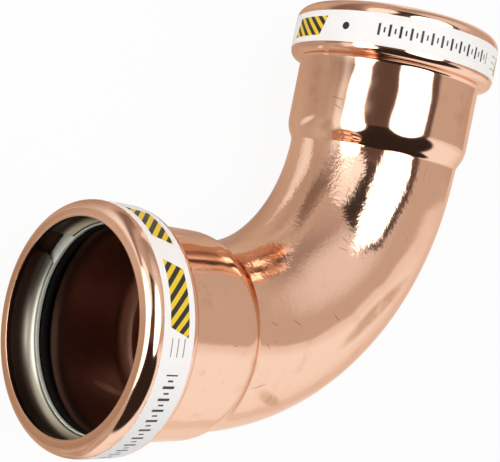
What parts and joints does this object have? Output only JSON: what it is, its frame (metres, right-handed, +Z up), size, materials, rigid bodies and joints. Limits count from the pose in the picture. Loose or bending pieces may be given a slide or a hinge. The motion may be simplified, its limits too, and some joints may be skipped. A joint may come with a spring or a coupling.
{
  "type": "press fit elbow",
  "caption": "Copper 90 degree press fit elbow: a bent tube with a beaded socket at each end, each with a rubber seal, a plastic separator washer, a split steel grip ring and a white label band.",
  "frame": {"origin": "on the surface that the elbow lies on, under the middle of its box", "axes": "-Y out of the mouth of end A, -X out of the mouth of end B, +Z up, square to the plane of the two axes"},
  "size_m": [0.1712, 0.1712, 0.0812],
  "materials": {
    "copper": "bright drawn copper, polished, with fine scratches",
    "seal_rubber": "matte black synthetic rubber",
    "separator_plastic": "pale moulded plastic, satin",
    "grip_steel": "bright stainless steel strip",
    "label": "white printed label"
  },
  "bodies": {
    "root": {"body": "copper", "seal_ring_a": "seal_rubber", "separator_ring_a": "separator_plastic", "grip_ring_a": "grip_steel", "label_band_a": "label", "seal_ring_b": "seal_rubber", "separator_ring_b": "separator_plastic", "grip_ring_b": "grip_steel", "label_band_b": "label"}
  },
  "joints": []
}
